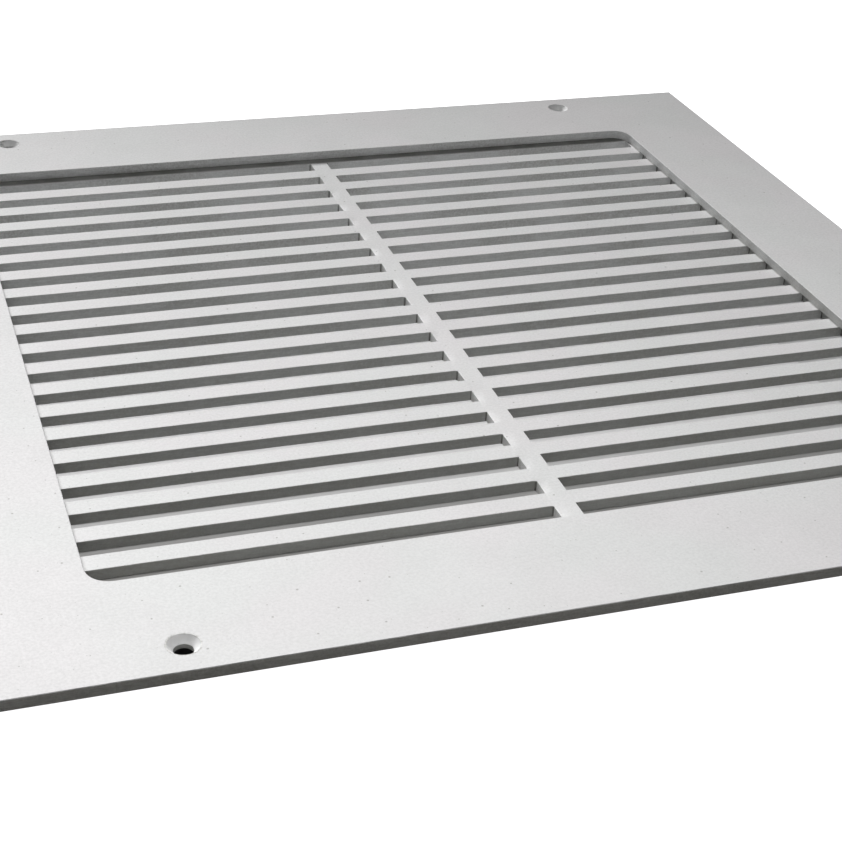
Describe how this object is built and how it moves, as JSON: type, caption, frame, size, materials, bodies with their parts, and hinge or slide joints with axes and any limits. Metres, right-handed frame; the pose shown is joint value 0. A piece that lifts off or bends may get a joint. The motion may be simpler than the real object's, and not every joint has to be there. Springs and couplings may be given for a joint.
{
  "type": "roof vent cover",
  "caption": "Flat square roof vent cover: a face frame with countersunk screw holes and a recessed slotted panel bonded behind its opening.",
  "frame": {"origin": "middle of the four screw holes, on the face frame's mounting face", "axes": "+Z out of the show face, +X along the slats, +Y across the slats"},
  "size_m": [0.331, 0.331, 0.0064],
  "materials": {
    "frame_sheet": "matte off-white sheet",
    "panel_sheet": "matte off-white sheet"
  },
  "bodies": {
    "root": {"face_frame": "frame_sheet", "slotted_panel": "panel_sheet"}
  },
  "joints": []
}
